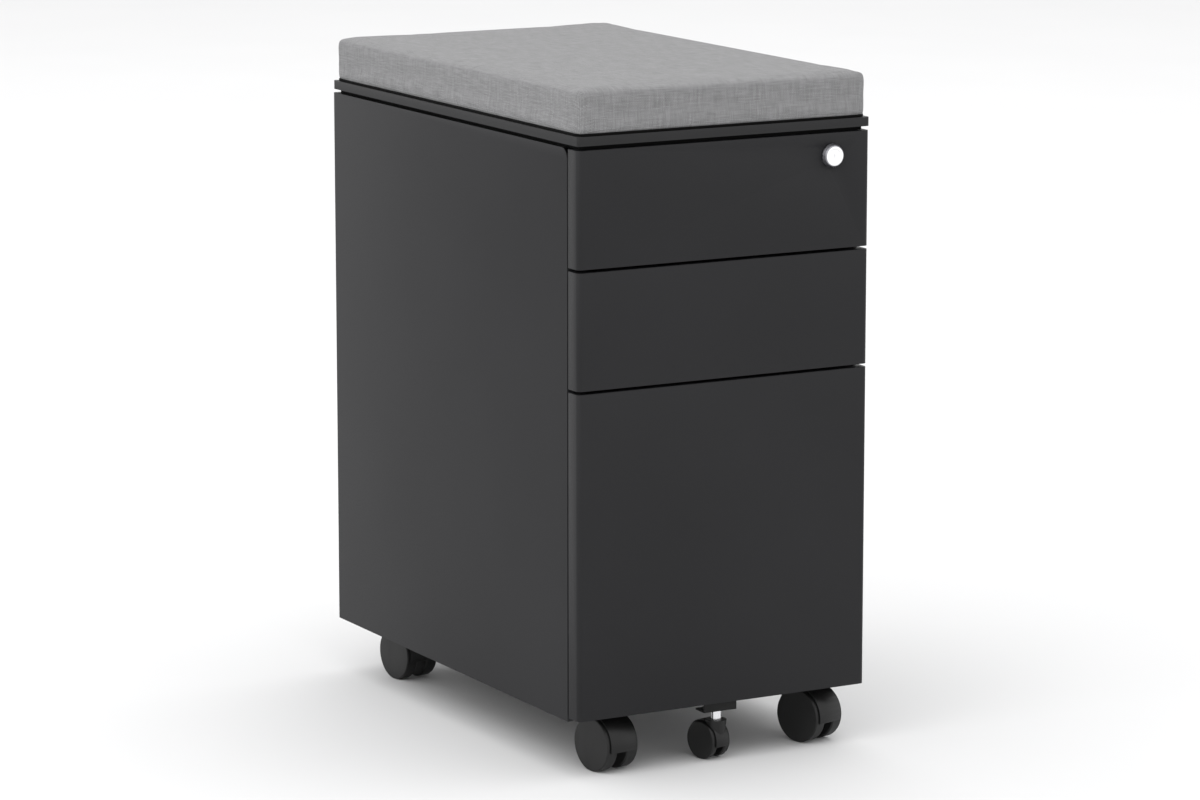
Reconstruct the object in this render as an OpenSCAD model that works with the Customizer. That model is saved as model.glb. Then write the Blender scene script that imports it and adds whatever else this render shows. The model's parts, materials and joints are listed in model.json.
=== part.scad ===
// Rolling pedestal cabinet: a narrow steel case with two box drawers and a file drawer,
// a padded seat on top, a gang lock, four corner casters and one caster under the file drawer.
// Millimetres. The floor is z = 0, the drawer faces look along -Y, and +X is the lock's side.

/* [Cabinet] */
// Width over the side panels
body_w = 300; // [280:1:420]
// Depth from the drawer faces to the back
body_d = 487.5; // [400:0.5:620]
// Height of the case's lower edge above the floor
case_z = 52; // [50:0.5:80]
// Height of the side panels
case_h = 516.7; // [420:0.1:640]
// Sheet steel of the case, the drawer fronts and the trays
sheet = 1; // [0.8:0.1:1.2]
// Radius of the side panels' upper front corner
side_corner_r = 10; // [4:1:14]
// Radius of the case's back corners
back_corner_r = 2; // [1.5:0.5:3]
// How far the base pan sits above the case's lower edge
base_recess = 8; // [7:0.5:12]

/* [Top] */
// Shadow gap between the case and the top plate
top_gap = 3.5; // [2:0.5:6]
// Height of the top plate's folded edge
plate_h = 8.2; // [6:0.1:14]
// Sheet steel of the top plate
plate_sheet = 1.2; // [1:0.1:2]
// How far the core board stands back from the case's sides
core_inset = 5; // [4:0.5:10]
// Radius of the top plate's upright corners
plate_corner_r = 3; // [2:0.5:5]

/* [Seat] */
// Thickness of the seat's base board
board_t = 2.3; // [2:0.1:6]
// How far the base board stands back from the top plate's edge
board_inset = 2; // [1:0.5:6]
// Height of the upholstered pad above its board
pad_h = 39.8; // [30:0.1:70]
// Radius of the pad's upright corners
pad_corner_r = 11; // [9:0.5:16]
// Radius of the pad's upper edge
pad_edge_r = 9; // [5:0.5:9]
// How far the pad's lower edge is drawn in under it
pad_tuck = 2.5; // [1:0.5:4]
// Thickness of the fabric cover with its lining
cover_t = 1.2; // [0.8:0.1:2]

/* [Drawers] */
// Depth of the folded drawer fronts
front_t = 18; // [16:0.5:24]
// Gap between the drawer fronts and the case
front_back_gap = 2; // [1.5:0.5:4]
// Gap between one drawer front and the next
front_gap = 3; // [2:0.5:5]
// Height of the top drawer's front
front_1_h = 105.1; // [95:0.1:150]
// Height of the middle drawer's front
front_2_h = 105.3; // [85:0.1:150]
// Gap from the case's lower edge up to the bottom drawer's front
front_lift = 3.7; // [2:0.1:8]
// Gap from the top drawer's front up to the case's upper edge
front_top_gap = 0.4; // [0.2:0.1:2]
// Radius of the fronts' upright corners
front_corner_r = 4.5; // [3:0.5:8]
// Width of the folded lip behind each front's sides
lip_w = 20; // [16:0.5:30]
// Height of the folded lip behind each front's top and bottom
lip_h = 7; // [5:0.5:8]
// Height of each tray's floor above its front's lower edge
tray_lift = 6.8; // [5:0.1:12]
// Clearance behind the trays
tray_back_gap = 26; // [20:1:60]
// Height of the file drawer's tray
file_tray_h = 248; // [180:1:260]
// Spacing of the two bars that hanging files rest on
file_bar_spacing = 330; // [250:1:345]

/* [Runners] */
// Length of the telescopic runners
runner_len = 450; // [350:1:450]
// Height of the runners
runner_h = 45; // [35:1:45]
// Thickness of a runner, closed
runner_w = 12.7; // [11.5:0.1:14]
// Sheet steel of the runners
runner_t = 1.2; // [1:0.1:1.5]
// Gap between nested runner channels
runner_gap = 0.6; // [0.4:0.1:0.8]
// Depth of the uprights that carry the runners
upright_w = 6; // [5.5:0.5:9]
// Width of an upright from front to back
upright_d = 30; // [20:1:40]

/* [Lock] */
// Distance from the lock's axis to the case's right side
lock_side = 39.3; // [34:0.1:60]
// Distance from the lock's axis to the top drawer's upper edge
lock_drop = 20.5; // [19:0.1:23]
// How far the lock's bezel stands out of the drawer's face
lock_proud = 4.5; // [3:0.5:6]
// Radius of the bezel at the drawer's face
bezel_r = 11.25; // [10.5:0.25:12]
// Radius of the bezel's face
bezel_face_r = 9.2; // [8:0.1:9.5]
// Radius of the lock's barrel
barrel_r = 9; // [8:0.25:9.5]
// Radius of the turning plug
plug_r = 6; // [5:0.25:6.5]
// Distance from the plug's axis to the cam's pin
cam_r = 12; // [10:0.5:13]
// Radius of the cam's pin and of the drawers' locking studs
stud_r = 2.5; // [2:0.25:2.5]
// Thickness of the lock bar and the cam
bar_t = 2; // [1.5:0.5:2]

/* [Corner casters] */
// Wheel radius
wheel_r = 25; // [20:0.5:25]
// Half of the width over the two wheels
wheels_half_w = 17.25; // [15:0.25:20]
// Half of the gap between the two wheels
wheels_half_gap = 5.3; // [5.2:0.1:6]
// Distance from the stem's axis forward to the axle
caster_trail = 20; // [16:1:24]
// Distance from the case's side to a stem
stem_side = 43.6; // [40:0.1:60]
// Distance from the drawer faces to the front stems
stem_front = 53; // [48:1:80]
// Distance from the case's back to the rear stems
stem_back = 40.2; // [40:0.1:80]

/* [Centre caster] */
// Wheel radius
mid_wheel_r = 17.5; // [15:0.5:18.5]
// Half of the width over the two wheels
mid_half_w = 10.7; // [10:0.1:13]
// Half of the gap between the two wheels
mid_half_gap = 4.2; // [4.2:0.1:5]
// Distance from the stem's axis back to the axle
mid_trail = 9.8; // [8:0.2:11]
// Distance from the drawer faces to the stem
mid_stem_front = 13.5; // [13:0.5:16]
// Width of the bracket that carries the stem
bracket_w = 34; // [30:1:60]
// How far the bracket hangs below the drawer front
bracket_drop = 9.2; // [8:0.1:9.5]

/* [Hidden] */
$fn = 96;

STEEL = [0.235, 0.235, 0.245];
STEEL_FRONT = [0.2, 0.2, 0.21];
BLACK = [0.07, 0.07, 0.07];
ZINC = [0.72, 0.73, 0.75];
CHROME = [0.88, 0.88, 0.9];
BOARD = [0.13, 0.13, 0.13];
FABRIC = [0.57, 0.57, 0.57];
FOAM = [0.86, 0.82, 0.66];

// Clearances
fit = 0.05;      // radial, round running fits
seat = 0.2;      // between sheet parts that lie against each other
play = 0.5;      // around a moving pin in its slot
eps = 0.01;

// Screws: shank and head radii, lengths, and places in from the edges
screw_r = 2;
head_r = 3.5;
head_h = 2;
top_screw_len = 8;
top_screw_in = [45, 50];
front_screw_in = [6, 7, 10];

// The cabinet's frame: depths are measured back from the drawer faces
half_w = body_w / 2;
face_y = -(body_d - lock_proud) / 2;
inner_x = half_w - sheet;
case_front = front_t + front_back_gap;
case_top = case_z + case_h;
base_z = case_z + base_recess;
core_corner_r = 2;
core_top = case_top + top_gap + plate_h - plate_sheet;
plate_z = case_top + top_gap;
seat_z = plate_z + plate_h;
pad_z = seat_z + board_t;

// Drawer fronts, from the top down: lower edge and height
fronts_top = case_top - front_top_gap;
front_1_z = fronts_top - front_1_h;
front_2_z = front_1_z - front_gap - front_2_h;
front_3_z = case_z + front_lift;
front_3_h = front_2_z - front_gap - front_3_z;
front_z = [front_1_z, front_2_z, front_3_z];
front_h = [front_1_h, front_2_h, front_3_h];

// Lock: the cam's pin swings 45 degrees either way and lifts the bar by its chord
lock_x = half_w - lock_side;
lock_nut_h = 3.5;
lock_z = fronts_top - lock_drop;
barrel_len = 14;
plug_sunk = 0.3;
keyway = [1.2, 3.6, 0.9];   // width, height and depth
cam_boss_r = 3;
cam_y = barrel_len + 1;
cam_rest = -45;
bar_lift = 2 * cam_r * sin(45);
slot_half = stud_r + cam_r * 0.03 + play;
arm_rim = 2.6;
arm_half = slot_half + arm_rim;
arm_z = lock_z - bar_lift / 2;
arm_y = case_front + 4;
cam_pin_end = arm_y + bar_t + 3;

// Runners and uprights
runner_x = inner_x - upright_w;
tray_x = runner_x - runner_w;
runner_y = case_front + 7;
upright_gap = 10;        // below the case's upper edge
upright_front_y = case_front + 22;
upright_rear_y = runner_y + runner_len - upright_d - 17;

// Trays: floor height and wall height, from the top down
wall_lap = 11;           // of a tray's front wall over the lips of its drawer front
wall_edge = [2.5, 5.5];  // from that wall's lower and upper edges to the front's
pin_room = 2;            // around the lock cam's pin in that wall's slot
file_bar_h = 14;
file_bar_tab = 7;        // half length of a file bar's end tabs
file_bar_t = 2;
stem_top = base_z + 12;
arm_clear = 5;
tray_headroom = lock_drop + bar_lift / 2 + arm_half + arm_clear;
tray_z = [front_1_z + tray_lift, front_2_z + tray_lift, stem_top + 5];
tray_h = [front_1_h - tray_lift - tray_headroom, front_2_h - tray_lift - tray_headroom, file_tray_h];
tray_end = body_d - tray_back_gap;
runner_z = [tray_z[0] + tray_h[0] / 2, tray_z[1] + tray_h[1] / 2, tray_z[2] + tray_h[2] / 2];

// Lock bar: it slides on the right side panel, and the drawers' studs stand in its slots
bar_x = inner_x - bar_t - 2;
bar_y = case_front + 3;
bar_w = 16;
stud_y = bar_y + 8;
striker_half = 5;
striker_z = [front_1_z + 7, front_2_z + 7, runner_z[2] - runner_h / 2 - 16];
tab_t = 1.5;
striker_x = runner_x - tab_t;
stud_end = bar_x + bar_t + 0.8;
bar_low = striker_z[2] - bar_lift - slot_half - 8;
guide_z = [striker_z[0] - 22, (striker_z[0] + striker_z[1]) / 2 - 22, striker_z[2] + 30];

// Casters
wheel_clear = 0.6;    // around the wheels
hood_gap = 1.5;       // the hood stands proud of the wheels
hood_drop = 4.5;      // the hood's lower edge, below the axle
web_clear = 0.7;      // beside the wheels
hood_inset = 3.2;     // from the wheels' outer faces to the hood's edges
axle_r = 3;
pin_r = 4;
thread_r = 5;
hub_r = 11;
mid_hub_r = 9.8;
mid_hub_foot_r = 7.5;
web_r = 7.5;
pin_depth = 9;        // the swivel pins end this high above the axle
collar_r = 9;
nut_r = 8;
nut_h = 7;
mid_nut_r = 6.5;
collar_gap = 0.3;     // between a hub and the collar or shank above it
hub_top = base_z - 4;
mid_hub_top = 2 * mid_wheel_r + hood_gap + 1;
stem_x = half_w - stem_side;
stem_rear = body_d - stem_back;
bracket_z = front_3_z - bracket_drop;
bracket_t = 1.8;
bracket_y = mid_stem_front - 8;

// Stem position (x, depth) and swivel angle of each corner caster
FL = [-stem_x, stem_front, 8.7];
FR = [stem_x, stem_front, 16.4];
RL = [-stem_x, stem_rear, 6.4];
RR = [stem_x, stem_rear, 11];
MID = [0, mid_stem_front, 13.1];

// ---------- shared shapes ----------

// A block given by its low and high corners
module block(low, high) {
    translate(low) cube(high - low);
}

// A flat outline with four round corners, exact arcs
module round_rect(low, high, r) {
    translate([low[0] + r, low[1]]) square([high[0] - low[0] - 2 * r, high[1] - low[1]]);
    translate([low[0], low[1] + r]) square([high[0] - low[0], high[1] - low[1] - 2 * r]);
    for (x = [low[0] + r, high[0] - r], y = [low[1] + r, high[1] - r])
        translate([x, y]) circle(r);
}

// A round bar along +Y from depth y0 to y1
module bar_y(x, z, r, y0, y1) {
    translate([x, y0, z]) rotate([-90, 0, 0]) cylinder(h = y1 - y0, r = r);
}

// A round bar along +X from x0 to x1
module bar_x(y, z, r, x0, x1) {
    translate([x0, y, z]) rotate([0, 90, 0]) cylinder(h = x1 - x0, r = r);
}

// Puts a piece drawn with depths behind the drawer faces into the cabinet's frame
module from_face() {
    translate([0, face_y, 0]) children();
}

// Both sides of the cabinet
module both_sides() {
    for (m = [0, 1]) mirror([m, 0, 0]) children();
}

// ---------- case ----------

module case_wrapper() {
    color(STEEL) from_face() difference() {
        translate([0, 0, case_z]) linear_extrude(case_h) wrapper_plan();
        // the side panels' rounded upper front corner
        translate([-half_w - 1, case_front, case_top - side_corner_r]) difference() {
            translate([0, -1, 0]) cube([body_w + 2, side_corner_r + 1, side_corner_r + 1]);
            translate([-1, side_corner_r, 0]) rotate([0, 90, 0]) cylinder(h = body_w + 4, r = side_corner_r);
        }
        // windows in the front return for the drawers' studs
        for (z = striker_z)
            block([striker_x - 1, case_front - 1, z - striker_half - 2],
                  [stud_end + 0.6, case_front + sheet + 1, z + striker_half + 2]);
    }
}

// Sides and back with a narrow return at the front edges
module wrapper_plan() {
    difference() {
        wrapper_outline(0);
        wrapper_outline(sheet);
        translate([-runner_x, case_front - 1]) square([2 * runner_x, sheet + 2]);
    }
}

module wrapper_outline(inset) {
    r = back_corner_r - inset * 0.5;
    w = half_w - inset;
    translate([-w, case_front + inset]) square([2 * w, body_d - inset - r - case_front - inset]);
    translate([-w + r, case_front + inset]) square([2 * (w - r), body_d - case_front - 2 * inset]);
    for (s = [-1, 1]) translate([s * (w - r), body_d - inset - r]) circle(r);
}

module top_pan() {
    // short enough to clear the lock bar at the top of its travel
    flange = case_top - (arm_z + arm_half + bar_lift) - 1;
    x = inner_x - seat;
    y0 = case_front + side_corner_r + seat;
    y1 = body_d - sheet - seat;
    color(BLACK) from_face() difference() {
        translate([0, 0, case_top - flange]) linear_extrude(flange)
            round_rect([-x, y0], [x, y1], back_corner_r);
        block([-x + sheet, y0 + sheet, case_top - flange - 1], [x - sheet, y1 - sheet, case_top - sheet]);
        for (p = top_screw_places()) translate([p[0], p[1], case_top - 2]) cylinder(h = 3, r = screw_r + fit);
    }
}

function top_screw_places() = [
    for (s = [-1, 1], y = [case_front + top_screw_in[1], body_d - top_screw_in[1]])
        [s * (half_w - top_screw_in[0]), y]
];

module base_pan() {
    x = inner_x - seat;
    y0 = case_front + sheet + seat;
    y1 = body_d - sheet - seat;
    color(BLACK) from_face() difference() {
        union() {
            difference() {
                translate([0, 0, case_z + 0.5]) linear_extrude(base_recess + sheet - 0.5)
                    round_rect([-x, y0], [x, y1], back_corner_r);
                block([-x + sheet, y0 + sheet, case_z - 1], [x - sheet, y1 - sheet, base_z]);
            }
            // weld nuts for the caster stems
            for (c = [FL, FR, RL, RR])
                translate([c[0], c[1], base_z + sheet]) cylinder(h = nut_h, r = nut_r, $fn = 6);
        }
        for (c = [FL, FR, RL, RR])
            translate([c[0], c[1], base_z - 1]) cylinder(h = nut_h + sheet + 2, r = thread_r + fit);
    }
}

// Channels that stand against the side panels and carry the runners
module uprights() {
    z0 = base_z + sheet;
    z1 = case_top - upright_gap;
    color(BLACK) from_face() both_sides() for (y = [upright_front_y, upright_rear_y]) difference() {
        block([runner_x, y, z0], [inner_x, y + upright_d, z1]);
        block([runner_x + sheet, y + sheet, z0 - 1], [inner_x + 1, y + upright_d - sheet, z1 + 1]);
        for (z = runner_z) bar_x(y + upright_d / 2, z, screw_r + fit, runner_x - 1, inner_x);
    }
}

module core_board() {
    color(BOARD) from_face() difference() {
        translate([0, 0, case_top]) linear_extrude(core_top - case_top)
            round_rect([-half_w + core_inset, core_inset], [half_w - core_inset, body_d - core_inset],
                       core_corner_r);
        for (p = top_screw_places()) translate([p[0], p[1], case_top - 1])
            cylinder(h = top_screw_len + 1, r = screw_r + fit);
    }
}

module top_plate() {
    color(STEEL) from_face() difference() {
        translate([0, 0, plate_z]) linear_extrude(plate_h)
            round_rect([-half_w, 0], [half_w, body_d], plate_corner_r);
        translate([0, 0, plate_z - 1]) linear_extrude(plate_h - plate_sheet + 1)
            round_rect([-half_w + plate_sheet, plate_sheet], [half_w - plate_sheet, body_d - plate_sheet],
                       plate_corner_r - plate_sheet / 2);
    }
}

module top_screws() {
    color(ZINC) from_face() for (p = top_screw_places()) translate([p[0], p[1], case_top - sheet]) {
        translate([0, 0, -head_h]) cylinder(h = head_h, r = head_r);
        cylinder(h = top_screw_len, r = screw_r);
    }
}

// ---------- seat ----------

module seat_board() {
    color(BOARD) from_face() translate([0, 0, seat_z]) linear_extrude(board_t)
        round_rect([-half_w + board_inset, board_inset], [half_w - board_inset, body_d - board_inset],
                   pad_corner_r - board_inset);
}

// The pad's form, inset all round: a tucked lower edge and a rolled upper edge
module pad_form(inset, low, high) {
    r = pad_corner_r;
    hull() for (x = [-half_w + r, half_w - r], y = [r, body_d - r]) translate([x, y, 0]) {
        translate([0, 0, low]) cylinder(h = 1, r = r - pad_tuck - inset, $fn = 32);
        translate([0, 0, low + pad_h * 0.45]) cylinder(h = 1, r = r - inset, $fn = 32);
        translate([0, 0, high - pad_edge_r]) rotate_extrude($fn = 32)
            pad_edge_profile(r - inset, pad_edge_r);
    }
}

// Half section of the pad's corner post: a quarter round at its upper rim
module pad_edge_profile(r, edge) {
    intersection() {
        union() {
            translate([r - edge, 0]) circle(edge, $fn = 32);
            square([max(r - edge, 0.5), edge]);
        }
        square([r, edge]);
    }
}

module seat_foam() {
    gap = cover_t + 0.4;
    color(FOAM) from_face() pad_form(gap, pad_z, pad_z + pad_h - gap);
}

module seat_cover() {
    color(FABRIC) from_face() difference() {
        pad_form(0, pad_z, pad_z + pad_h);
        pad_form(cover_t, pad_z - 1, pad_z + pad_h - cover_t);
    }
}

// ---------- drawers ----------

// A folded front: face, sides, top and bottom, with lips behind
module drawer_front(n) {
    z0 = front_z[n];
    z1 = z0 + front_h[n];
    color(STEEL_FRONT) from_face() {
        difference() {
            translate([0, 0, z0]) linear_extrude(front_h[n]) front_plan(0);
            translate([0, 0, z0 + sheet]) linear_extrude(front_h[n] - 2 * sheet) front_plan(sheet);
            // the opening between the lips
            block([-half_w + lip_w, front_t - sheet - 1, z0 + lip_h],
                  [half_w - lip_w, front_t + 1, z1 - lip_h]);
            if (n == 0) bar_y(lock_x, lock_z, barrel_r + fit, -1, sheet + 1);
        }
        // the striker tab with its locking stud
        block([striker_x, front_t - eps, striker_z[n] - striker_half],
              [striker_x + tab_t, stud_y + striker_half, striker_z[n] + striker_half]);
        bar_x(stud_y, striker_z[n], stud_r, striker_x + tab_t - eps, stud_end);
    }
}

module front_plan(inset) {
    r = front_corner_r - inset * 0.5;
    w = half_w - inset;
    translate([-w, inset + r]) square([2 * w, front_t - 2 * inset - r]);
    translate([-w + r, inset]) square([2 * (w - r), front_t - 2 * inset]);
    for (s = [-1, 1]) translate([s * (w - r), inset + r]) circle(r);
}

// An open box whose front wall closes the back of the drawer front
module drawer_tray(n) {
    z0 = tray_z[n];
    z1 = z0 + tray_h[n];
    pin_half = stud_r + pin_room;
    wall_x = half_w - lip_w + wall_lap;
    color(STEEL) from_face() difference() {
        union() {
            difference() {
                block([-tray_x, front_t, z0], [tray_x, tray_end, z1]);
                block([-tray_x + sheet, front_t + sheet, z0 + sheet], [tray_x - sheet, tray_end - sheet, z1 + 1]);
            }
            block([-wall_x, front_t, front_z[n] + wall_edge[0]],
                  [wall_x, front_t + sheet, front_z[n] + front_h[n] - wall_edge[1]]);
        }
        for (p = front_screw_places(n)) bar_y(p[0], p[1], screw_r + fit, front_t - 1, front_t + sheet + 1);
        // a slot for the lock cam's pin, from the lower to the upper end of its quarter turn
        if (n == 0)
            block([lock_x + cam_r * cos(45) - pin_half, front_t - 1, lock_z - cam_r * sin(45) - pin_half],
                  [lock_x + cam_r + pin_half, front_t + sheet + 1, lock_z + cam_r * sin(45) + pin_half]);
    }
}

function front_screw_places(n) = [
    for (s = [-1, 1], z = [front_z[n] + front_screw_in[1], front_z[n] + front_h[n] - front_screw_in[2]])
        [s * (half_w - lip_w + front_screw_in[0]), z]
];

// Screws that hold a tray to its front, heads inside the case
module drawer_screws(n) {
    color(ZINC) from_face() for (p = front_screw_places(n)) {
        bar_y(p[0], p[1], screw_r, front_t, front_t + sheet);
        bar_y(p[0], p[1], head_r, front_t + sheet, front_t + sheet + head_h);
    }
}

// Two bars across the file drawer, notched over its side walls
module file_bars() {
    x = tray_x - sheet;
    z1 = tray_z[2] + tray_h[2] - 4;
    y_mid = (front_t + tray_end) / 2;
    color(ZINC) from_face() for (s = [-1, 1]) {
        y = y_mid + s * file_bar_spacing / 2;
        block([-x, y - file_bar_t / 2, z1 - file_bar_h], [x, y + file_bar_t / 2, z1]);
        for (e = [-1, 1])
            block([min(e * x, e * (x - tab_t)), y - file_bar_tab, z1 - file_bar_h],
                  [max(e * x, e * (x - tab_t)), y + file_bar_tab, z1]);
    }
}

// ---------- runners ----------

// A channel with its web at x0 and its flanges reaching to x1
module channel(x0, x1, half_h, y0, y1) {
    web = x1 > x0 ? [x0, x0 + runner_t] : [x0 - runner_t, x0];
    block([web[0], y0, -half_h], [web[1], y1, half_h]);
    for (s = [-1, 1])
        block([min(x0, x1), y0, min(s * half_h, s * (half_h - runner_t))],
              [max(x0, x1), y1, max(s * half_h, s * (half_h - runner_t))]);
}

runner_step = runner_t + runner_gap;

module runner_outer(n) {
    color(ZINC) from_face() both_sides() difference() {
        translate([0, 0, runner_z[n]])
            channel(runner_x, tray_x + 3.5, runner_h / 2, runner_y, runner_y + runner_len);
        for (y = [upright_front_y, upright_rear_y])
            bar_x(y + upright_d / 2, runner_z[n], head_r + fit, runner_x - runner_t - 1, runner_x + 1);
    }
}

module runner_middle(n) {
    color(ZINC) from_face() both_sides() translate([0, 0, runner_z[n]])
        channel(runner_x - runner_step, tray_x + 2, runner_h / 2 - runner_step,
                runner_y, runner_y + runner_len - 10);
}

module runner_inner(n) {
    color(ZINC) from_face() both_sides() translate([0, 0, runner_z[n]])
        channel(tray_x, runner_x - 2 * runner_step, runner_h / 2 - 2 * runner_step,
                front_t + sheet + 2, tray_end - 4);
}

// Countersunk screws, flush with the outer channels' webs
module runner_screws() {
    color(ZINC) from_face() both_sides() for (z = runner_z, y = [upright_front_y, upright_rear_y]) {
        bar_x(y + upright_d / 2, z, head_r, runner_x - runner_t, runner_x);
        bar_x(y + upright_d / 2, z, screw_r, runner_x, runner_x + upright_w - 2);
    }
}

// ---------- lock ----------

module lock_housing() {
    color(CHROME) from_face() difference() {
        union() {
            translate([lock_x, -lock_proud, lock_z]) rotate([-90, 0, 0])
                cylinder(h = lock_proud, r1 = bezel_face_r, r2 = bezel_r);
            bar_y(lock_x, lock_z, barrel_r, -eps, barrel_len);
        }
        bar_y(lock_x, lock_z, plug_r + fit, -lock_proud - 1, barrel_len + 1);
    }
}

module lock_nut() {
    color(ZINC) from_face() difference() {
        translate([lock_x, sheet, lock_z]) rotate([-90, 0, 0]) cylinder(h = lock_nut_h, r = barrel_r + 4, $fn = 6);
        bar_y(lock_x, lock_z, barrel_r + fit, 0, sheet + lock_nut_h + 1);
    }
}

module lock_plug() {
    color(CHROME) from_face() difference() {
        union() {
            bar_y(lock_x, lock_z, plug_r, -lock_proud + plug_sunk, cam_y);
            bar_y(lock_x, lock_z, cam_boss_r, cam_y - eps, cam_y + bar_t);
        }
        // the keyway, down to its dust shutter
        block([lock_x - keyway[0] / 2, -lock_proud - 1, lock_z - keyway[1] / 2],
              [lock_x + keyway[0] / 2, -lock_proud + plug_sunk + keyway[2], lock_z + keyway[1] / 2]);
    }
}

// An arm behind the plug with a pin that reaches into the lock bar's slot
module lock_cam() {
    color(ZINC) from_face() translate([lock_x, 0, lock_z]) rotate([0, -cam_rest, 0]) difference() {
        union() {
            bar_y(0, 0, 7, cam_y, cam_y + bar_t);
            bar_y(cam_r, 0, stud_r + 2, cam_y, cam_y + bar_t);
            block([0, cam_y, -stud_r - 1], [cam_r, cam_y + bar_t, stud_r + 1]);
            bar_y(cam_r, 0, stud_r, cam_y, cam_pin_end);
        }
        bar_y(0, 0, cam_boss_r + fit, cam_y - 1, cam_y + bar_t + 1);
    }
}

// The bar on the right side panel: a slot for each drawer's stud and an arm to the cam's pin
module lock_bar() {
    arm_x = lock_x + cam_r * cos(45) - stud_r - play;
    color(ZINC) from_face() difference() {
        union() {
            block([bar_x, bar_y, bar_low], [bar_x + bar_t, bar_y + bar_w, arm_z + arm_half]);
            block([arm_x - arm_rim, arm_y, arm_z - arm_half], [bar_x + bar_t, arm_y + bar_t, arm_z + arm_half]);
        }
        block([arm_x, arm_y - 1, arm_z - slot_half],
              [lock_x + cam_r + stud_r + play, arm_y + bar_t + 1, arm_z + slot_half]);
        for (z = striker_z) {
            block([bar_x - 1, bar_y - 1, z - slot_half], [bar_x + bar_t + 1, stud_y + stud_r + play, z + slot_half]);
            block([bar_x - 1, stud_y - stud_r - play, z - bar_lift - slot_half],
                  [bar_x + bar_t + 1, stud_y + stud_r + play, z + slot_half]);
        }
    }
}

module lock_bar_guides() {
    c = 0.3;
    color(BLACK) from_face() for (z = guide_z) difference() {
        block([bar_x - 1.6, bar_y - 1, z - 5], [inner_x, bar_y + bar_w + 1.6, z + 5]);
        block([bar_x - c, bar_y - c, z - 6], [bar_x + bar_t + c, bar_y + bar_w + c, z + 6]);
    }
}

// ---------- casters ----------

// Puts a piece drawn around a stem's axis, axle along X, at a caster's place
module at_caster(c) {
    from_face() translate([c[0], c[1], 0]) rotate([0, 0, c[2]]) children();
}

// A hooded frame between two wheels; offset is the axle's place in front of (-) or behind (+) the stem,
// and hub_radii the hub's radius at its foot and its rim
module caster_frame(r, half, gap, offset, hub_high, hub_radii) {
    web = gap - web_clear;
    hood = half - hood_inset;
    hub_z = r + 2;
    difference() {
        union() {
            intersection() {
                bar_x(offset, r, r + hood_gap, -hood, hood);
                block([-half, offset - 2 * r, r - hood_drop], [half, offset + 2 * r, 3 * r]);
            }
            bar_x(offset, r, web_r, -web, web);
            translate([0, 0, hub_z]) cylinder(h = hub_high - hub_z, r1 = hub_radii[0], r2 = hub_radii[1]);
        }
        for (s = [0, 1]) mirror([s, 0, 0]) bar_x(offset, r, r + wheel_clear, web, half + hub_radii[1]);
        bar_x(offset, r, axle_r + 0.02, -half, half);
        translate([0, 0, r + pin_depth - 1]) cylinder(h = hub_high, r = pin_r + fit);
    }
}

module caster_axle(r, half, offset) {
    bar_x(offset, r, axle_r, -half + 2, half - 2);
}

// One wheel: a plain disc outside, a tread, and a blind bore for the axle
module caster_wheel(r, half, gap, offset, side) {
    edge = 1.1;
    translate([0, offset, r]) rotate([0, side * 90, 0]) rotate_extrude() polygon([
        [axle_r + fit, gap], [r - edge, gap], [r, gap + edge], [r, half - edge],
        [r - 0.3 * edge, half - 0.3 * edge], [r - edge, half],
        [0, half], [0, half - 1.8], [axle_r + fit, half - 1.8]
    ]);
}

module corner_housing(c) {
    color(BLACK) at_caster(c)
        caster_frame(wheel_r, wheels_half_w, wheels_half_gap, -caster_trail, hub_top, [hub_r, hub_r]);
}

module corner_axle(c) {
    color(ZINC) at_caster(c) caster_axle(wheel_r, wheels_half_w, -caster_trail);
}

module corner_wheel(c, side) {
    color(BLACK) at_caster(c) caster_wheel(wheel_r, wheels_half_w, wheels_half_gap, -caster_trail, side);
}

// Swivel pins with a collar under the base pan and a thread into its weld nuts
module caster_stems() {
    color(ZINC) for (c = [FL, FR, RL, RR]) at_caster(c) {
        pin_z = wheel_r + pin_depth;
        collar_z = hub_top + collar_gap;
        translate([0, 0, pin_z]) cylinder(h = base_z - pin_z, r = pin_r);
        translate([0, 0, collar_z]) cylinder(h = base_z - collar_z, r = collar_r);
        translate([0, 0, base_z - eps]) cylinder(h = stem_top - base_z, r = thread_r);
    }
}

// A folded bracket under the file drawer's front
module caster_bracket() {
    w = bracket_w / 2;
    y1 = bracket_y + 16;
    color(BLACK) from_face() difference() {
        union() {
            block([-w, bracket_y, bracket_z], [w, y1, bracket_z + bracket_t]);
            block([-w, bracket_y, bracket_z], [w, bracket_y + bracket_t, front_3_z]);
            block([-w, bracket_y, front_3_z - bracket_t], [w, front_t - 1, front_3_z]);
        }
        translate([0, mid_stem_front, bracket_z - 1]) cylinder(h = bracket_t + 2, r = pin_r + fit);
    }
}

module mid_caster_stem() {
    color(CHROME) at_caster(MID) {
        pin_z = mid_wheel_r + pin_depth;
        shank_z = mid_hub_top + collar_gap;
        nut_z = bracket_z + bracket_t;
        translate([0, 0, pin_z]) cylinder(h = nut_z + 3.5 - pin_z, r = pin_r);
        translate([0, 0, shank_z]) cylinder(h = bracket_z - shank_z, r = thread_r);
        translate([0, 0, nut_z]) cylinder(h = 3, r = mid_nut_r, $fn = 6);
    }
}

module mid_housing() {
    color(BLACK) at_caster(MID)
        caster_frame(mid_wheel_r, mid_half_w, mid_half_gap, mid_trail, mid_hub_top, [mid_hub_foot_r, mid_hub_r]);
}

module mid_axle() {
    color(ZINC) at_caster(MID) caster_axle(mid_wheel_r, mid_half_w, mid_trail);
}

module mid_wheel(side) {
    color(BLACK) at_caster(MID) caster_wheel(mid_wheel_r, mid_half_w, mid_half_gap, mid_trail, side);
}

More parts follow.
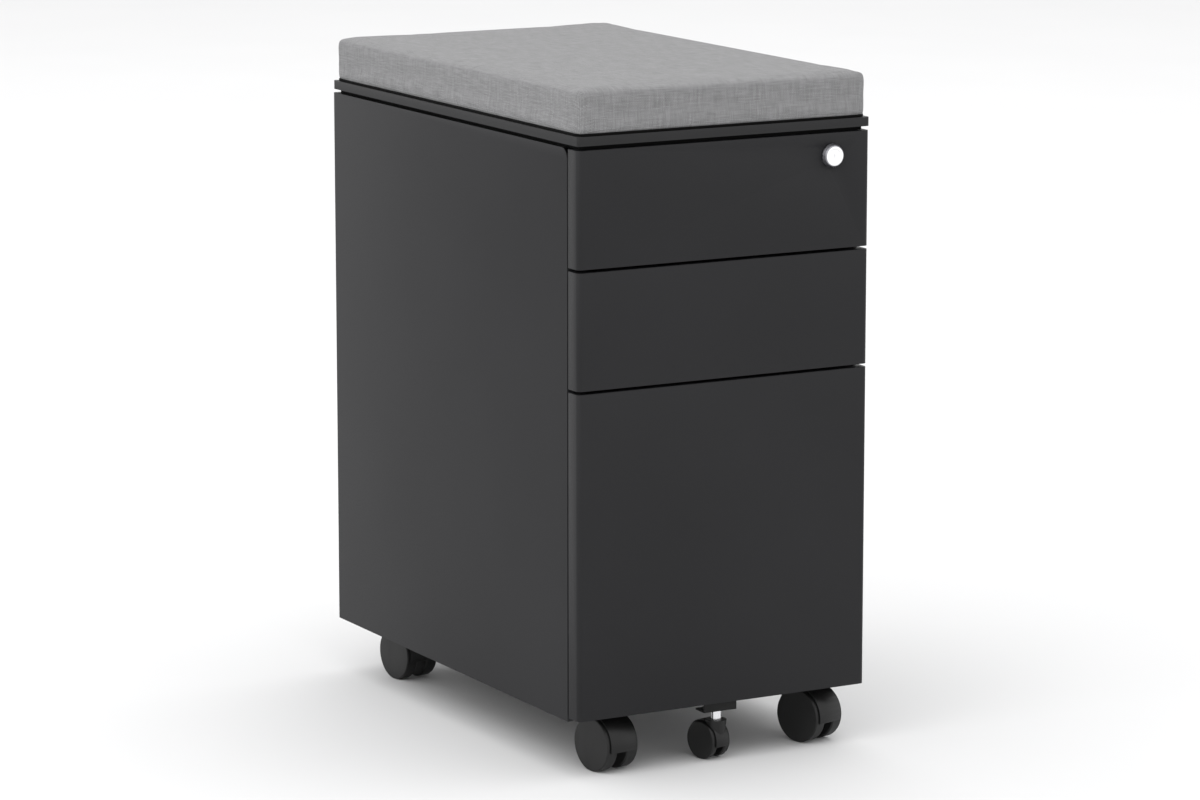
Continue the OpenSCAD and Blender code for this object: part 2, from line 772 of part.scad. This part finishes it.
case_wrapper();
top_pan();
base_pan();
uprights();
core_board();
top_plate();
top_screws();
seat_board();
seat_foam();
seat_cover();
lock_bar_guides();
runner_screws();
caster_stems();
runner_outer(0);  // runner_1_outer
runner_outer(1);  // runner_2_outer
runner_outer(2);  // runner_3_outer
runner_middle(0);  // runner_1_middle
runner_middle(1);  // runner_2_middle
runner_middle(2);  // runner_3_middle
runner_inner(0);  // runner_1_inner
runner_inner(1);  // runner_2_inner
runner_inner(2);  // runner_3_inner
drawer_front(0);  // drawer_1_front
drawer_front(1);  // drawer_2_front
drawer_front(2);  // drawer_3_front
drawer_tray(0);  // drawer_1_tray
drawer_tray(1);  // drawer_2_tray
drawer_tray(2);  // drawer_3_tray
drawer_screws(0);  // drawer_1_screws
drawer_screws(1);  // drawer_2_screws
drawer_screws(2);  // drawer_3_screws
file_bars();
caster_bracket();
mid_caster_stem();
lock_housing();
lock_nut();
lock_plug();
lock_cam();
lock_bar();
corner_housing(FL);  // caster_fl_housing
corner_housing(FR);  // caster_fr_housing
corner_housing(RL);  // caster_rl_housing
corner_housing(RR);  // caster_rr_housing
corner_axle(FL);  // caster_fl_axle
corner_axle(FR);  // caster_fr_axle
corner_axle(RL);  // caster_rl_axle
corner_axle(RR);  // caster_rr_axle
corner_wheel(FL, -1);  // caster_fl_left_wheel
corner_wheel(FR, -1);  // caster_fr_left_wheel
corner_wheel(RL, -1);  // caster_rl_left_wheel
corner_wheel(RR, -1);  // caster_rr_left_wheel
corner_wheel(FL, 1);  // caster_fl_right_wheel
corner_wheel(FR, 1);  // caster_fr_right_wheel
corner_wheel(RL, 1);  // caster_rl_right_wheel
corner_wheel(RR, 1);  // caster_rr_right_wheel
mid_housing();  // mid_caster_housing
mid_axle();  // mid_caster_axle
mid_wheel(-1);  // mid_caster_left_wheel
mid_wheel(1);  // mid_caster_right_wheel
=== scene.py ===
import json
import math

import bmesh
import bpy
import numpy as np
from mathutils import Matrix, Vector


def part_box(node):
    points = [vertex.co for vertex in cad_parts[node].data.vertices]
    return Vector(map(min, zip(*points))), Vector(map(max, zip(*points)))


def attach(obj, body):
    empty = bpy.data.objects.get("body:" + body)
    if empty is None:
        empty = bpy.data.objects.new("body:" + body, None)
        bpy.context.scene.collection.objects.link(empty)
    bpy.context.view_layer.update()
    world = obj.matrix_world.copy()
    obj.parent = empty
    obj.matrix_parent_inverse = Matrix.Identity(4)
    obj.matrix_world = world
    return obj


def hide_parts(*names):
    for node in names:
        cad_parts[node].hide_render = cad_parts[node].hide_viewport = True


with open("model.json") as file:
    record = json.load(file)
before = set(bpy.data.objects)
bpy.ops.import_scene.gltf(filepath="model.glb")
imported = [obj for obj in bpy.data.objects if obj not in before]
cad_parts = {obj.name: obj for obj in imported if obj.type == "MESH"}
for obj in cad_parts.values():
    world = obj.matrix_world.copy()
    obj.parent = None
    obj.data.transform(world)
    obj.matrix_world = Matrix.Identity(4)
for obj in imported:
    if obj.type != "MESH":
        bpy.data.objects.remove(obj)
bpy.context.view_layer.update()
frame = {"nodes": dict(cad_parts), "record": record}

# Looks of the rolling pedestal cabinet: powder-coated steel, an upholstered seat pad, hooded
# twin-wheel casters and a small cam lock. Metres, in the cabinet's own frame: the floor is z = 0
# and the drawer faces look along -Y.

MM = 0.001

# ---------- places read from the frame ----------

PAD_LOW, PAD_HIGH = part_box("seat_cover")
BOARD_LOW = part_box("seat_board")[0]

# ---------- camera, lights and floor ----------

CAMERA_AZIMUTH = 29.035      # degrees to the left of straight in front
CAMERA_ELEVATION = 10.628    # degrees above the horizon
CAMERA_DISTANCE = 4.449
CAMERA_AIM = Vector((0.0061, 0.0, 0.2944))
CAMERA_LENS = 141.83         # millimetres, on a sensor this wide
CAMERA_SENSOR = 36.0

SKY_STRENGTH = 1.2
FLOOR_HALF = 9.0


def add_camera():
    """A camera at the viewing angle, aimed at a point near the cabinet's middle."""
    azimuth = math.radians(CAMERA_AZIMUTH)
    elevation = math.radians(CAMERA_ELEVATION)
    towards = Vector((math.sin(azimuth) * math.cos(elevation),
                      math.cos(azimuth) * math.cos(elevation),
                      -math.sin(elevation)))
    data = bpy.data.cameras.new("camera")
    data.lens = CAMERA_LENS
    data.sensor_width = CAMERA_SENSOR
    data.clip_end = 50.0
    camera = bpy.data.objects.new("camera", data)
    camera.location = CAMERA_AIM - towards * CAMERA_DISTANCE
    camera.rotation_euler = towards.to_track_quat("-Z", "Y").to_euler()
    bpy.context.scene.collection.objects.link(camera)
    bpy.context.scene.camera = camera


def add_softbox(name, place, aim, width, height, power):
    """A rectangular area light at place, turned towards aim."""
    data = bpy.data.lights.new(name, "AREA")
    data.shape = "RECTANGLE"
    data.size = width
    data.size_y = height
    data.energy = power
    light = bpy.data.objects.new(name, data)
    light.location = Vector(place)
    light.rotation_euler = (Vector(aim) - light.location).to_track_quat("-Z", "Y").to_euler()
    bpy.context.scene.collection.objects.link(light)


def add_studio():
    """White surroundings, a wide overhead soft box, one at the left and a pale floor."""
    world = bpy.data.worlds.new("studio")
    world.use_nodes = True
    background = world.node_tree.nodes["Background"]
    background.inputs["Color"].default_value = (1.0, 1.0, 1.0, 1.0)
    background.inputs["Strength"].default_value = SKY_STRENGTH
    bpy.context.scene.world = world
    bpy.context.scene.view_settings.view_transform = "Standard"
    add_softbox("overhead", place=(0.0, 1.0, 4.0), aim=(0.0, 1.0, 0.0),
                width=9.0, height=9.0, power=170.0)
    add_softbox("key", place=(-1.5, -0.5, 1.35), aim=(0.0, 0.0, 0.4),
                width=1.2, height=1.2, power=6.0)
    floor = grid_piece("floor", *floor_grid(FLOOR_HALF), floor_paint())


def floor_grid(half):
    """A square on z = 0: two parameters run from -half to half."""
    steps = np.linspace(-half, half, 3)
    x, y = np.meshgrid(steps, steps, indexing="ij")
    return np.stack([x, y, np.zeros_like(x)], axis=-1), False, False


# ---------- mesh helpers ----------


def mesh_piece(name, points, faces, material):
    """A mesh object from arrays of points and faces, at the origin."""
    mesh = bpy.data.meshes.new(name)
    mesh.from_pydata([tuple(p) for p in points], [], [tuple(int(i) for i in f) for f in faces])
    mesh.validate()
    mesh.polygons.foreach_set("use_smooth", [True] * len(mesh.polygons))
    mesh.materials.append(material)
    piece = bpy.data.objects.new(name, mesh)
    bpy.context.scene.collection.objects.link(piece)
    return piece


def grid_faces(rows, columns, wrap_rows, wrap_columns):
    """Quads between neighbouring points of a rows by columns grid, closed round where asked."""
    r = np.arange(rows if wrap_rows else rows - 1)
    c = np.arange(columns if wrap_columns else columns - 1)
    r0, c0 = (a.ravel() for a in np.meshgrid(r, c, indexing="ij"))
    r1, c1 = (r0 + 1) % rows, (c0 + 1) % columns
    corners = [r0 * columns + c0, r1 * columns + c0, r1 * columns + c1, r0 * columns + c1]
    return np.stack(corners, axis=-1)


def grid_piece(name, grid, wrap_rows, wrap_columns, material):
    """A surface over a grid of points, rows by columns by xyz."""
    rows, columns = grid.shape[:2]
    faces = grid_faces(rows, columns, wrap_rows, wrap_columns)
    return mesh_piece(name, grid.reshape(-1, 3), faces, material)


def baked(piece):
    """Replaces a piece's mesh by what its modifiers make of it, and drops them."""
    bpy.context.view_layer.update()
    depsgraph = bpy.context.evaluated_depsgraph_get()
    mesh = bpy.data.meshes.new_from_object(piece.evaluated_get(depsgraph))
    piece.modifiers.clear()
    piece.data = mesh
    return piece


def vertices_of(mesh):
    points = np.zeros(len(mesh.vertices) * 3)
    mesh.vertices.foreach_get("co", points)
    return points.reshape(-1, 3)


# ---------- materials ----------


class Paint:
    """A node material with a Principled shader, built up one node at a time."""

    def __init__(self, name):
        self.material = bpy.data.materials.new(name)
        self.material.use_nodes = True
        self.tree = self.material.node_tree
        self.shader = self.tree.nodes["Principled BSDF"]

    def add(self, kind, **settings):
        """A node; settings that name its sockets are their values or links, the rest its options."""
        node = self.tree.nodes.new("ShaderNode" + kind)
        for key, value in settings.items():
            if hasattr(node, key):
                setattr(node, key, value)
        for key, value in settings.items():
            if not hasattr(node, key):
                self.plug(node, key.replace("_", " "), value)
        return node

    def plug(self, node, socket, value):
        """Sets a socket by its name or number, or links another node's output to it."""
        if isinstance(socket, str) and socket.startswith("in"):
            socket = int(socket[2:])
        target = node.inputs[socket]
        if isinstance(value, bpy.types.NodeSocket):
            self.tree.links.new(value, target)
        else:
            target.default_value = value

    def place(self, source="Object"):
        return self.add("TexCoord").outputs[source]

    def stretched(self, vector, scale):
        return self.add("Mapping", Vector=vector, Scale=scale).outputs["Vector"]

    def noise(self, vector, scale, detail=2.0, rough=0.5):
        node = self.add("TexNoise", Vector=vector, Scale=scale, Detail=detail, Roughness=rough)
        return node.outputs["Fac"]

    def math(self, operation, a, b=0.0):
        return self.add("Math", operation=operation, in0=a, in1=b).outputs[0]

    def spread(self, value, low, high, from_low=0.3, from_high=0.7):
        """A 0..1 value, such as noise, spread over low..high."""
        node = self.add("MapRange", clamp=True)
        for socket, number in (("Value", value), ("From Min", from_low), ("From Max", from_high),
                               ("To Min", low), ("To Max", high)):
            self.plug(node, socket, number)
        return node.outputs["Result"]

    def tint(self, fac, dark, light):
        """A colour between dark and light."""
        node = self.add("Mix", data_type="RGBA")
        self.plug(node, 0, fac)
        self.plug(node, 6, (*dark, 1.0))
        self.plug(node, 7, (*light, 1.0))
        return node.outputs[2]

    def bump(self, height, depth, strength=1.0, under=None):
        """A bump of depth metres from a 0..1 height, over another bump."""
        node = self.add("Bump", Height=height, Distance=depth, Strength=strength)
        if under is not None:
            self.plug(node, "Normal", under)
        return node.outputs["Normal"]

    def finish(self, **values):
        """Values and links of the Principled shader's own sockets."""
        for key, value in values.items():
            self.plug(self.shader, key.replace("_", " "), value)
        return self.material


def shades(colour, spread):
    """A darker and a lighter shade of a colour."""
    return [c * (1 - spread) for c in colour], [c * (1 + spread) for c in colour]


def powder_coat(name, colour, rough=0.5):
    """Textured powder coat: a fine orange peel, faint speckle and a slow drift of tone."""
    paint = Paint(name)
    place = paint.place()
    peel = paint.noise(place, 1500.0, 2.0)
    speckle = paint.noise(place, 700.0, 3.0, 0.7)
    drift = paint.noise(place, 5.0, 3.0)
    tone = paint.math("ADD", paint.math("MULTIPLY", speckle, 0.55), paint.math("MULTIPLY", drift, 0.45))
    dark, light = shades(colour, 0.16)
    normal = paint.bump(peel, 0.12 * MM, 0.5)
    normal = paint.bump(paint.noise(place, 9.0, 1.0), 0.6 * MM, 0.35, normal)
    return paint.finish(Base_Color=paint.tint(paint.spread(tone, 0.0, 1.0, 0.35, 0.65), dark, light),
                        Roughness=paint.spread(speckle, rough - 0.06, rough + 0.08),
                        Specular_IOR_Level=0.22, Normal=normal)


def moulded_nylon(name, colour, rough=0.4):
    """Moulded black nylon: fine spark-eroded grain and faint flow marks."""
    paint = Paint(name)
    place = paint.place()
    grain = paint.noise(place, 2600.0, 2.0)
    flow = paint.noise(paint.stretched(place, (1.0, 1.0, 0.35)), 55.0, 3.0)
    dark, light = shades(colour, 0.2)
    normal = paint.bump(grain, 0.06 * MM, 0.4)
    normal = paint.bump(flow, 0.1 * MM, 0.3, normal)
    return paint.finish(Base_Color=paint.tint(flow, dark, light),
                        Specular_IOR_Level=0.35,
                        Roughness=paint.spread(flow, rough - 0.05, rough + 0.09), Normal=normal)


def plated_steel(name, colour, rough=0.3, streak=(1.0, 0.05, 1.0)):
    """Plated or drawn steel: fine lines along its length and clouded patches."""
    paint = Paint(name)
    place = paint.place()
    lines = paint.noise(paint.stretched(place, streak), 900.0, 3.0, 0.6)
    cloud = paint.noise(place, 40.0, 3.0)
    dark, light = shades(colour, 0.1)
    return paint.finish(Base_Color=paint.tint(paint.spread(cloud, 0.0, 1.0), dark, light), Metallic=1.0,
                        Roughness=paint.spread(lines, rough - 0.08, rough + 0.1),
                        Normal=paint.bump(lines, 0.03 * MM, 0.5))


# The lock front is painted bright out to this radius as a highlight; outside it the cone is painted
# darker as shade.
LOCK_FACE_R = 8.6 * MM
LOCK_BLEND = 0.1 * MM        # half width of the change from the flat front's painted highlight to the cone's painted shade


def bezel_with_painted_light(name, lit_face, shaded_cone):
    """Satin plated lock front with its light painted in: the flat front bright as a painted highlight,
    and the turned cone outside its radius darker as painted shade.
    """
    paint = Paint(name)
    low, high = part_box("lock_housing")
    centre = [(a + b) / 2 for a, b in zip(low, high)]
    place = paint.add("Mapping", Vector=paint.place(), Scale=(1.0, 0.0, 1.0),
                      Location=(-centre[0], 0.0, -centre[2]))
    radius = paint.add("VectorMath", operation="LENGTH", in0=place.outputs["Vector"]).outputs["Value"]
    turning = paint.noise(paint.stretched(paint.place(), (1.0, 8.0, 1.0)), 900.0, 3.0, 0.6)
    # Painted light: a highlight colour, less metallic, on the flat front; a shade colour, fully
    # metallic, on the cone.
    on_shaded_cone = paint.spread(radius, 0.0, 1.0, LOCK_FACE_R - LOCK_BLEND, LOCK_FACE_R + LOCK_BLEND)
    return paint.finish(Base_Color=paint.tint(on_shaded_cone, lit_face, shaded_cone),
                        Metallic=paint.spread(on_shaded_cone, 0.35, 1.0, 0.0, 1.0),
                        Roughness=paint.spread(turning, 0.28, 0.42),
                        Normal=paint.bump(turning, 0.03 * MM, 0.5))


def open_foam(name, colour):
    """Open-cell foam: small pores."""
    paint = Paint(name)
    cells = paint.add("TexVoronoi", Vector=paint.place(), Scale=700.0).outputs["Distance"]
    dark, light = shades(colour, 0.15)
    return paint.finish(Base_Color=paint.tint(cells, dark, light), Roughness=0.95,
                        Normal=paint.bump(cells, 0.4 * MM, 0.8))


def fibreboard(name, colour):
    """Sealed black fibreboard: short pressed fibres."""
    paint = Paint(name)
    fibres = paint.noise(paint.stretched(paint.place(), (1.0, 1.0, 6.0)), 500.0, 4.0, 0.7)
    dark, light = shades(colour, 0.3)
    return paint.finish(Base_Color=paint.tint(fibres, dark, light), Roughness=0.8,
                        Specular_IOR_Level=0.08, Normal=paint.bump(fibres, 0.1 * MM, 0.4))


THREAD_PITCH = 1.2 * MM


def woven_cloth(name, colour):
    """Plain weave of slubby melange yarn, laid out by the piece's own UV map in metres.

    The height is the warp's round section where the warp is on top, and the weft's elsewhere; the
    two take turns like a chess board. Yarn tone and thickness wander along each thread."""
    paint = Paint(name)
    flat = paint.place("UV")
    wobble = paint.add("TexNoise", Vector=flat, Scale=45.0, Detail=1.0).outputs["Color"]
    offset = paint.add("VectorMath", operation="SCALE", in0=wobble)
    paint.plug(offset, "Scale", 0.5 * MM)
    laid = paint.add("VectorMath", operation="ADD", in0=flat, in1=offset.outputs[0]).outputs[0]
    parts = paint.add("SeparateXYZ", Vector=laid)
    across, along = parts.outputs["X"], parts.outputs["Y"]
    turns = math.pi / THREAD_PITCH
    warp = paint.math("ABSOLUTE", paint.math("SINE", paint.math("MULTIPLY", across, turns)))
    weft = paint.math("ABSOLUTE", paint.math("SINE", paint.math("MULTIPLY", along, turns)))
    board = paint.add("TexChecker", Vector=laid, Scale=1.0 / THREAD_PITCH).outputs["Fac"]
    height = paint.add("Mix", data_type="FLOAT")
    for socket, link in ((0, board), (2, warp), (3, weft)):
        paint.plug(height, socket, link)
    height = height.outputs[0]
    warp_tone = paint.noise(paint.stretched(laid, (1.0, 0.07, 1.0)), 760.0, 2.0, 0.6)
    weft_tone = paint.noise(paint.stretched(laid, (0.07, 1.0, 1.0)), 760.0, 2.0, 0.6)
    tone = paint.add("Mix", data_type="FLOAT")
    for socket, link in ((0, board), (2, warp_tone), (3, weft_tone)):
        paint.plug(tone, socket, link)
    dark, light = shades(colour, 0.26)
    yarn = paint.tint(paint.spread(tone.outputs[0], 0.0, 1.0), dark, light)
    # Painted shade and highlight of the weave: the yarn colour is multiplied down to 0.6 in the hollows
    # between threads and up to 1.06 on their crests.
    shadow = paint.spread(height, 0.6, 1.06, 0.0, 0.8)
    shaded = paint.add("Mix", data_type="RGBA", blend_type="MULTIPLY")
    for socket, link in ((0, 1.0), (6, yarn), (7, shadow)):
        paint.plug(shaded, socket, link)
    return paint.finish(Base_Color=shaded.outputs[2], Roughness=0.93, Sheen_Weight=0.04,
                        Sheen_Roughness=0.5, Specular_IOR_Level=0.2,
                        Normal=paint.bump(height, 0.3 * MM, 0.6))


def floor_paint():
    """Pale seamless studio floor with the faintest mottling."""
    paint = Paint("studio_floor")
    mottle = paint.noise(paint.place(), 3.0, 2.0)
    return paint.finish(Base_Color=paint.tint(mottle, (0.66, 0.66, 0.663), (0.68, 0.68, 0.683)),
                        Roughness=0.9, Specular_IOR_Level=0.1)


# ---------- carried-over parts ----------


WELD_WITHIN = 0.01 * MM
EDGE_ANGLE = math.radians(35)


def dress(node, material, bevel=0.0):
    """Gives a CAD node its material and, with a bevel, softly rolled edges."""
    piece = frame["nodes"][node]
    piece.data.materials.clear()
    piece.data.materials.append(material)
    if bevel:
        piece.data.polygons.foreach_set("use_smooth", [True] * len(piece.data.polygons))
        weld = piece.modifiers.new("weld", "WELD")
        weld.merge_threshold = WELD_WITHIN
        roll = piece.modifiers.new("roll", "BEVEL")
        roll.width = bevel
        roll.segments = 2
        roll.limit_method = "ANGLE"
        roll.angle_limit = EDGE_ANGLE
        roll.harden_normals = True
        roll.miter_outer = "MITER_ARC"


SLOT_OF = {row["node"]: row["material_slot"] for row in frame["record"]["subparts"]}

FINISHES = {
    "case_steel": powder_coat("case_coat", (0.0128, 0.0128, 0.0140)),
    # The fronts' coat is the case coat about 2 % darker: painted shade for the fronts, which get less
    # light than the left side.
    "front_steel": powder_coat("front_coat", (0.0125, 0.0125, 0.0137)),
    "top_steel": powder_coat("top_coat", (0.0165, 0.0165, 0.0172)),
    "tray_steel": powder_coat("tray_coat", (0.018, 0.018, 0.0192)),
    "black_steel": powder_coat("black_coat", (0.006, 0.006, 0.006), 0.45),
    # The boards are black, and this colour is taken darker still as painted shade for the shadow gap
    # under the top plate where the core board shows.
    "black_board": fibreboard("board_black", (0.003, 0.003, 0.003)),
    "foam": open_foam("pad_foam", (0.72, 0.66, 0.42)),
    "seat_fabric": woven_cloth("pad_cloth", (0.222, 0.222, 0.225)),
    # Lock front: painted highlight colour on the flat front, painted shade colour on the cone.
    "lock_chrome": bezel_with_painted_light("lock_painted_highlight_and_shade", (0.93, 0.93, 0.94), (0.26, 0.26, 0.28)),
    "stem_chrome": plated_steel("stem_bright", (0.85, 0.85, 0.87), 0.2, (1.0, 1.0, 0.05)),
    "runner_zinc": plated_steel("runner_plating", (0.6, 0.61, 0.63), 0.34),
    "zinc": plated_steel("screw_plating", (0.55, 0.56, 0.58), 0.34),
    "caster_plastic": moulded_nylon("caster_nylon", (0.006, 0.006, 0.006), 0.4),
    "wheel_plastic": moulded_nylon("wheel_nylon", (0.007, 0.007, 0.007), 0.45),
}

BEVELS = {
    "case_wrapper": 0.3 * MM,
    "top_plate": 0.9 * MM,
    "drawer_1_front": 0.45 * MM,
    "drawer_2_front": 0.45 * MM,
    "drawer_3_front": 0.45 * MM,
    "seat_board": 0.5 * MM,
    "caster_bracket": 0.4 * MM,
    "lock_housing": 0.5 * MM,
}

CASTER_BEVEL = 0.5 * MM


def dress_all():
    """Every CAD node takes the finish of its slot."""
    for node in frame["nodes"]:
        bevel = BEVELS.get(node, 0.0)
        if node.endswith("_housing") and node.startswith(("caster", "mid")):
            bevel = CASTER_BEVEL
        dress(node, FINISHES[SLOT_OF[node]], bevel)


# ---------- seat pad ----------

PAD_CORNER = 11 * MM
PAD_CORNER_LEAST = 0.6 * MM  # left of the corner radius, however far a ring is drawn in
PAD_EDGE = 4 * MM
PAD_TUCK = 2.0 * MM
PAD_SLACK = 1.0 * MM         # how much smaller the pad starts before it is blown up
PAD_VOXEL = 4 * MM
PAD_HELD = 2.5 * MM          # height of the band along the lower edge that the cloth is held by
PAD_PRESSURE = 4.0
PAD_STEPS = 20               # frames of cloth
PAD_CAP = 1.6 * MM           # the furthest that the cloth may travel
SEAM_IN = 5 * MM             # from the pad's corner to each side's seam
SEAM_HALF = 1.1 * MM         # half width of the cloth that a seam draws in
SEAM_DEPTH = 2.0 * MM
SEAM_REACH = 4 * MM          # how far in from a side's plane its points are looked for
SEAM_PLANES = 9
STITCH = 3.5 * MM
BOARD_SHOWS = 0.5 * MM       # of the board's edge, below the cover


def plan_ring(inset, z, around):
    """A rounded rectangle at height z: four quarter circles of the corner radius less the inset,
    with straight runs between them, sampled at even turns of its normal and length."""
    radius = max(PAD_CORNER - inset, PAD_CORNER_LEAST)
    low = np.array(PAD_LOW[:2]) + inset + radius
    high = np.array(PAD_HIGH[:2]) - inset - radius
    centres = np.array([[high[0], high[1]], [low[0], high[1]], [low[0], low[1]], [high[0], low[1]]])
    turn = np.linspace(0, math.pi / 2, around)
    ring = [np.stack([c[0] + radius * np.cos(turn + q * math.pi / 2),
                      c[1] + radius * np.sin(turn + q * math.pi / 2)], axis=-1)
            for q, c in enumerate(centres)]
    ring = np.concatenate(ring)
    return np.column_stack([ring, np.full(len(ring), z)])


def pad_start(material):
    """The pad before it is blown up: plan rings carried up a profile with a tucked lower edge,
    upright sides and a quarter-round upper edge, closed by flat ends."""
    low, high = PAD_LOW[2], PAD_HIGH[2] - PAD_SLACK
    side = np.linspace(0, 1, 8)
    tuck = PAD_SLACK + PAD_TUCK * (1 - side) ** 2
    profile = [(t, low + s * (high - PAD_EDGE - low)) for t, s in zip(tuck, side)]
    turn = np.linspace(0, math.pi / 2, 7)[1:]
    profile += [(PAD_SLACK + PAD_EDGE * (1 - math.cos(a)), high - PAD_EDGE + PAD_EDGE * math.sin(a))
                for a in turn]
    rings = np.array([plan_ring(inset, z, 8) for inset, z in profile])
    rows, columns = rings.shape[:2]
    faces = [list(f) for f in grid_faces(rows, columns, False, True)]
    faces = [f[::-1] for f in faces]
    faces.append(list(range(columns))[::-1])
    faces.append([(rows - 1) * columns + i for i in range(columns)])
    return mesh_piece("seat_pad", rings.reshape(-1, 3), faces, material)


def blow_up(pad):
    """Cloth under a light inner pressure, held along its lower edge, with its travel capped."""
    remesh = pad.modifiers.new("remesh", "REMESH")
    remesh.mode = "VOXEL"
    remesh.voxel_size = PAD_VOXEL
    baked(pad)
    before = vertices_of(pad.data)
    held = np.flatnonzero(before[:, 2] < PAD_LOW[2] + PAD_HELD)
    group = pad.vertex_groups.new(name="held")
    group.add([int(i) for i in held], 1.0, "ADD")
    cloth = pad.modifiers.new("cloth", "CLOTH")
    cloth.settings.vertex_group_mass = "held"
    cloth.settings.quality = 5
    cloth.settings.use_pressure = True
    cloth.settings.uniform_pressure_force = PAD_PRESSURE
    cloth.settings.effector_weights.gravity = 0.0
    cloth.point_cache.frame_start = 1
    cloth.point_cache.frame_end = PAD_STEPS
    scene = bpy.context.scene
    for step in range(1, PAD_STEPS + 1):
        scene.frame_set(step)
    baked(pad)
    after = vertices_of(pad.data)
    move = after - before
    length = np.linalg.norm(move, axis=1, keepdims=True)
    after = before + move * np.minimum(1.0, PAD_CAP / np.maximum(length, 1e-9))
    pad.data.vertices.foreach_set("co", after.ravel())
    scene.frame_set(1)


def fit_to_box(pad):
    """Stretches the pad in each direction until its sides meet the box kept for it in the cabinet. Its
    lower edge goes down past the board, because the cover wraps the board's edges."""
    points = vertices_of(pad.data)
    low, high = points.min(axis=0), points.max(axis=0)
    to_low, to_high = np.array(PAD_LOW), np.array(PAD_HIGH)
    to_low[2] = BOARD_LOW[2] + BOARD_SHOWS
    points = to_low + (points - low) * (to_high - to_low) / (high - low)
    pad.data.vertices.foreach_set("co", points.ravel())
    pad.data.update()


def sew_seams(pad):
    """Cuts the mesh at upright planes near the left-hand end of each side, where a seam belongs, and
    moves the points there inwards by the seam's depth times a cosine bell of their distance from
    it, deeper at each stitch.

    SEAM_REACH falls short of this: round its corner the cover lies further in than that, so only a
    few points move, by a hair, and no seam shows."""
    seams = [(0, PAD_LOW[0] + SEAM_IN, 1, PAD_LOW[1]), (1, PAD_LOW[1] + SEAM_IN, 0, PAD_HIGH[0]),
             (0, PAD_HIGH[0] - SEAM_IN, 1, PAD_HIGH[1]), (1, PAD_HIGH[1] - SEAM_IN, 0, PAD_LOW[0])]
    top = PAD_HIGH[2] - 1.4 * PAD_EDGE
    cloth = bmesh.new()
    cloth.from_mesh(pad.data)
    for axis, middle, inward, side in seams:
        for offset in np.linspace(-SEAM_HALF, SEAM_HALF, SEAM_PLANES):
            faces = [f for f in cloth.faces
                     if abs(f.calc_center_median()[inward] - side) < SEAM_REACH
                     and abs(f.calc_center_median()[axis] - middle) < 3 * SEAM_REACH
                     and f.calc_center_median()[2] < top]
            plane = Vector((0, 0, 0))
            plane[axis] = middle + offset
            normal = Vector((0, 0, 0))
            normal[axis] = 1.0
            parts = set(faces)
            parts.update(e for f in faces for e in f.edges)
            parts.update(v for f in faces for v in f.verts)
            bmesh.ops.bisect_plane(cloth, geom=list(parts), plane_co=plane, plane_no=normal)
    cloth.normal_update()
    moves = {}
    for point in cloth.verts:
        for axis, middle, inward, side in seams:
            away = abs(point.co[axis] - middle)
            inside = abs(point.co[inward] - side) < SEAM_REACH
            if away < SEAM_HALF and inside and point.co[2] < top:
                fade = min(1.0, (top - point.co[2]) / SEAM_REACH)
                pull = 0.75 + 0.25 * math.cos(2 * math.pi * point.co[2] / STITCH)
                bell = 0.5 + 0.5 * math.cos(math.pi * away / SEAM_HALF)
                moves[point] = point.normal * (-SEAM_DEPTH * fade * pull * bell ** 2)
    for point, move in moves.items():
        point.co += move
    cloth.to_mesh(pad.data)
    cloth.free()


def make_pad():
    """The upholstered pad, blown up, smoothed, fitted and given its cloth layout."""
    pad = pad_start(FINISHES["seat_fabric"])
    blow_up(pad)
    smooth = pad.modifiers.new("smooth", "SUBSURF")
    smooth.levels = 1
    smooth.render_levels = 1
    baked(pad)
    fit_to_box(pad)
    sew_seams(pad)
    pad.data.polygons.foreach_set("use_smooth", [True] * len(pad.data.polygons))
    lay_cloth(pad)
    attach(pad, "case")
    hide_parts("seat_cover", "seat_foam")
    return pad


def lay_cloth(pad):
    """UVs in metres: the top sheet turns over each edge and down its side, so u or v gains or loses
    height there, and the four sides part at the corners."""
    mesh = pad.data
    points = vertices_of(mesh)
    loops = np.zeros(len(mesh.loops), dtype=int)
    mesh.loops.foreach_get("vertex_index", loops)
    centres = np.zeros(len(mesh.polygons) * 3)
    normals = np.zeros(len(mesh.polygons) * 3)
    totals = np.zeros(len(mesh.polygons), dtype=int)
    mesh.polygons.foreach_get("center", centres)
    mesh.polygons.foreach_get("normal", normals)
    mesh.polygons.foreach_get("loop_total", totals)
    centres, normals = centres.reshape(-1, 3), normals.reshape(-1, 3)
    to_left = centres[:, 0] - PAD_LOW[0]
    to_right = PAD_HIGH[0] - centres[:, 0]
    to_front = centres[:, 1] - PAD_LOW[1]
    to_back = PAD_HIGH[1] - centres[:, 1]
    side = np.argmin(np.stack([to_left, to_right, to_front, to_back], axis=-1), axis=-1)
    side = np.repeat(side, totals)
    x, y, z = points[loops].T
    drop = z - PAD_HIGH[2]
    u = x + np.where(side == 0, drop, 0) - np.where(side == 1, drop, 0)
    v = y + np.where(side == 2, drop, 0) - np.where(side == 3, drop, 0)
    layer = mesh.uv_layers.new(name="cloth")
    layer.data.foreach_set("uv", np.stack([u, v], axis=-1).ravel())


# ---------- the scene ----------

add_camera()
add_studio()
dress_all()
make_pad()
